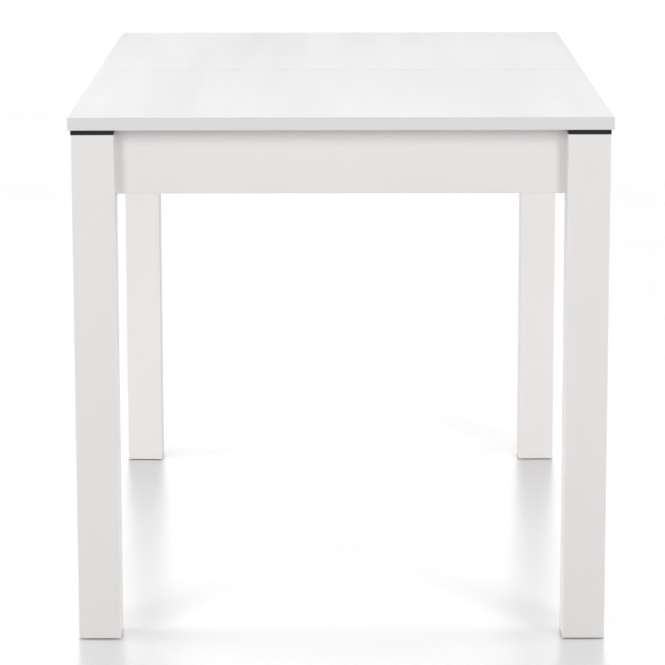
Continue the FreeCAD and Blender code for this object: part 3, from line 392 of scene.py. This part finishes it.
def ends_of(points):
    """The start, the unit axis, the length and the radius of a rod, from its narrower end."""
    middle, axis = axis_of(points)
    along = (points - middle) @ axis
    off_axis = np.linalg.norm((points - middle) - np.outer(along, axis), axis=1)
    half = (along.max() - along.min()) / 2
    wide_up = off_axis[along > 0.9 * half].max()
    wide_down = off_axis[along < -0.9 * half].max()
    if wide_down > wide_up * 1.05:
        axis, along = -axis, -along
    start = middle + axis * along.min()
    return Vector(start), Vector(axis), float(along.max() - along.min()), float(off_axis.max())


def add_turned(solid, start, axis, rings, sides, hollow=False):
    """A turned solid. A ring is (distance along the axis, radius), where the radius may be a
    function of the angle. A hollow one closes from its last ring back to its first."""
    upright = Vector((0, 0, 1))
    across = axis.cross(upright) if abs(axis.z) < 0.9 else axis.orthogonal()
    across.normalize()
    other = axis.cross(across)
    loops = []
    for distance, radius in rings:
        loop = []
        for step in range(sides):
            angle = 2 * math.pi * step / sides
            out = radius(angle) if callable(radius) else radius
            point = start + axis * distance + (across * math.cos(angle) + other * math.sin(angle)) * out
            loop.append(solid.verts.new(point))
        loops.append(loop)
    pairs = list(zip(loops, loops[1:]))
    if hollow:
        pairs.append((loops[-1], loops[0]))
    for lower, upper in pairs:
        for step in range(sides):
            after = (step + 1) % sides
            solid.faces.new((lower[step], lower[after], upper[after], upper[step]))
    if not hollow:
        solid.faces.new(loops[0][::-1])
        solid.faces.new(loops[-1])


def thread_rings(start, end, pitch, crest, root):
    """Rings of a screw thread, a crest and a root for each pitch."""
    turns = max(1, round((end - start) / pitch))
    rings = []
    for turn in range(turns):
        base = start + (end - start) * turn / turns
        rings.append((base + 0.2 * pitch, root))
        rings.append((base + 0.7 * pitch, crest))
    return rings


def cross_recess(reach, width):
    """The outline of a cross recess, as a radius for each angle."""

    def radius(angle):
        from_wing = abs((angle + math.pi / 4) % (math.pi / 2) - math.pi / 4)
        return min(reach, width / 2 / max(math.sin(from_wing), 0.001))

    return radius


SCREW_SIDES, HEAD_SIDES = 12, 48
SHANK = 1.75 * MM
SUNK_HEAD = 3.55 * MM  # radius of a countersunk head, which tells it from a pan head
SCREW_PITCH = 1.6 * MM
LAG_PITCH = 3.2 * MM
BOLT_PITCH = 1.25 * MM


def add_wood_screw(solid, points):
    """A pan-head or countersunk wood screw, with a cross recess in its head."""
    start, axis, length, head = ends_of(points)
    sunk = abs(head - SUNK_HEAD) < 0.03 * MM
    deep = 1.8 * MM if sunk else 2.2 * MM
    neck = length - deep
    core = 0.7 * SHANK
    taper = 2.2 * MM
    tip = [(0, 0.15 * SHANK), (taper, core)]
    thread = thread_rings(taper, neck - 0.5 * MM, SCREW_PITCH, SHANK, core)
    add_turned(solid, start, axis, tip + thread + [(neck + 0.2 * MM, core)], SCREW_SIDES)
    if sunk:
        rim = 0.97 * head
        rings = [(0, 0.9 * SHANK), (0.88 * deep, rim), (0.99 * deep, rim), (0.99 * deep, 0.75 * head)]
    else:
        dome = [(0, 0.94), (0.12, 1.0), (0.45, 1.0), (0.72, 0.93), (0.90, 0.80), (0.99, 0.66)]
        rings = [(height * deep, wide * head) for height, wide in dome]
    rings.append((0.995 * deep, cross_recess(0.56 * head, 0.30 * head)))
    rings.append((0.35 * deep, cross_recess(0.36 * head, 0.22 * head)))
    add_turned(solid, start + axis * neck, axis, rings, HEAD_SIDES)


def add_hanger_bolt(solid, points):
    """Metric thread on the half towards the table's middle, coarse wood thread in the leg."""
    start, axis, length, radius = ends_of(points)
    middle = start + axis * length / 2
    if axis.dot(Vector((middle.x, middle.y, 0))) > 0:
        start, axis = start + axis * length, -axis
    bare = 0.84 * radius
    tip = 5 * MM
    rings = [(0, 0.2 * radius), (tip, bare)]
    rings += thread_rings(tip, 0.40 * length, LAG_PITCH, radius, 0.72 * radius)
    rings += [(0.41 * length, bare), (0.47 * length, bare)]
    rings += thread_rings(0.47 * length, length - 1.5 * MM, BOLT_PITCH, radius, bare)
    rings += [(length - 0.8 * MM, 0.92 * radius), (length, 0.75 * radius)]
    add_turned(solid, start, axis, rings, 24)


NUT_HOLE = 4.05 * MM
NUT_FLATS = 6.45 * MM  # from the axis to a flat
NUT_CORNER = 7.44 * MM
NUT_FACE = 6.3 * MM
WASHER_RIM = 9.0 * MM


def hexagon(limit):
    """A nut's outline, cut back to a circle of this radius, as a radius for each angle."""

    def radius(angle):
        return min(limit, NUT_FLATS / math.cos((angle + math.pi / 6) % (math.pi / 3) - math.pi / 6))

    return radius


def add_nut(solid, points):
    """Hexagon nut with chamfered corners and a threaded hole."""
    start, axis, thick = disc_of(points)
    rings = [(0.5 * MM, NUT_HOLE), (0, 4.5 * MM), (0, hexagon(NUT_FACE)), (0.7 * MM, hexagon(NUT_CORNER))]
    rings += [(thick - distance, radius) for distance, radius in reversed(rings)]
    add_turned(solid, start, axis, rings, 72, hollow=True)


def add_washer(solid, points):
    """Flat washer with eased rims."""
    start, axis, thick = disc_of(points)
    ease = 0.25 * MM
    rings = [(0, NUT_HOLE), (0, WASHER_RIM - ease), (ease, WASHER_RIM)]
    rings += [(thick - distance, radius) for distance, radius in reversed(rings)]
    add_turned(solid, start, axis, rings, 48, hollow=True)


def add_dowel(solid, points):
    """Fluted dowel with bevelled ends."""
    start, axis, length, radius = ends_of(points)
    flutes, groove, bevel = 20, 0.05, 1.2 * MM

    def fluted(angle):
        return radius * (1 - groove * (0.5 + 0.5 * math.cos(flutes * angle)))

    rings = [(0, 0.72 * radius), (bevel, fluted), (length - bevel, fluted), (length, 0.72 * radius)]
    add_turned(solid, start, axis, rings, 4 * flutes)


def body_holding(node):
    return next(body for body, members in BODIES.items() if node in members)


def replace_group(node, add_one):
    """One finer piece in place of a CAD group, solid by solid."""
    solid = bmesh.new()
    for points in separate_solids(node):
        add_one(solid, points)
    bmesh.ops.recalc_face_normals(solid, faces=solid.faces)
    mesh = bpy.data.meshes.new(f"{node}_detail")
    solid.to_mesh(mesh)
    solid.free()
    piece = bpy.data.objects.new(f"{node}_detail", mesh)
    bpy.context.scene.collection.objects.link(piece)
    mesh.shade_smooth()
    mesh.set_sharp_from_angle(angle=math.radians(38))
    mesh.materials.append(material_of(node))
    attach(piece, body_holding(node))
    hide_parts(node)


REPLACED = {
    "front_top_screws": add_wood_screw,
    "rear_top_screws": add_wood_screw,
    "bracket_screws": add_wood_screw,
    "bearer_screws": add_wood_screw,
    "rail_screws": add_wood_screw,
    "hanger_bolts": add_hanger_bolt,
    "bracket_nuts": add_nut,
    "bracket_washers": add_washer,
    "apron_dowels": add_dowel,
    "seam_dowels": add_dowel,
    "leaf_dowels": add_dowel,
}


def finish_cad_node(node):
    mesh = NODES[node].data
    mesh.materials.clear()
    mesh.materials.append(material_of(node))


# ---- studio ----

FLOOR_SIZE = 60

# Soft light from far off: even light from all round, and a bright wall behind the rear end, whose
# middle is some degrees above level and which fades to the sides by a power of the cosine.
EVEN_GLOW = 0.42
WALL_GLOW = 2.2
WALL_UP = 10
WALL_FADE = 6

# Softboxes: place, the point it faces, width and height in metres, watts.
TABLE_MIDDLE = (0, 0, 0.4)
FRONT_END = (0, -0.5, 0.7)
BOXES = {
    "left_strip": ((-2.35, -3.7, 2.5), FRONT_END, 1.1, 2.2, 55),
    "right_strip": ((2.35, -3.7, 2.5), FRONT_END, 1.1, 2.2, 60),
    "left_box": ((-3.0, 0, 1.5), TABLE_MIDDLE, 2.0, 2.0, 26),
    "right_box": ((3.0, 0, 1.5), TABLE_MIDDLE, 2.0, 2.0, 17),
    "low_left_box": ((-2.4, -0.35, 0.46), TABLE_MIDDLE, 0.8, 0.8, 22),
    "low_right_box": ((2.4, -0.35, 0.46), TABLE_MIDDLE, 0.8, 0.8, 18),
}


def make_floor():
    """Pale, slightly glossy floor. From below it is clear, so that the underside can be seen."""
    mesh = bpy.data.meshes.new("floor")
    half = FLOOR_SIZE / 2
    corners = [(-half, -half, 0), (half, -half, 0), (half, half, 0), (-half, half, 0)]
    mesh.from_pydata(corners, [], [(0, 1, 2, 3)])
    floor = bpy.data.objects.new("floor", mesh)
    bpy.context.scene.collection.objects.link(floor)
    finish = Finish("floor")
    smudge = finish.noise((1.5, 1.5, 1.5), 3.0)
    finish.paint((0.72, 0.72, 0.72, 1.0), finish.span(smudge, 0.28, 0.34))
    finish.plain(Specular_IOR_Level=0.4)
    below = finish.add("ShaderNodeNewGeometry").outputs["Backfacing"]
    clear = finish.add("ShaderNodeBsdfTransparent").outputs[0]
    either = finish.add("ShaderNodeMixShader")
    for socket, given in zip(either.inputs, (below, finish.shader.outputs[0], clear)):
        finish.give(socket, given)
    finish.give(finish.tree.nodes["Material Output"].inputs["Surface"], either.outputs[0])
    mesh.materials.append(finish.material)


def make_sky():
    """Even pale light from all round, and the bright wall behind the rear end."""
    world = bpy.data.worlds.new("sky")
    world.use_nodes = True
    bpy.context.scene.world = world
    sky = Nodes(world.node_tree)
    way = sky.add("ShaderNodeTexCoord").outputs["Generated"]
    up = math.radians(WALL_UP)
    facing = sky.maths("MAXIMUM", sky.dot(way, (0, math.cos(up), math.sin(up))), 0.0)
    wall = sky.maths("MULTIPLY", sky.maths("POWER", facing, WALL_FADE), WALL_GLOW)
    background = sky.tree.nodes["Background"]
    sky.give(background.inputs["Color"], (1, 1, 1, 1))
    sky.give(background.inputs["Strength"], sky.maths("ADD", wall, EVEN_GLOW))


def make_box(name, place, aim, width, height, watts):
    """A softbox that shines from a place towards a point."""
    light = bpy.data.lights.new(name, "AREA")
    light.shape = "RECTANGLE"
    light.size, light.size_y = width, height
    light.energy = watts
    box = bpy.data.objects.new(name, light)
    bpy.context.scene.collection.objects.link(box)
    box.location = place
    box.rotation_euler = (Vector(aim) - Vector(place)).to_track_quat("-Z", "Y").to_euler()


make_camera()
for node in NODES:
    if node not in REPLACED:
        finish_cad_node(node)
for node, add_one in REPLACED.items():
    replace_group(node, add_one)
make_floor()
make_sky()
for name, settings in BOXES.items():
    make_box(name, *settings)
bpy.context.scene.view_settings.view_transform = "Standard"
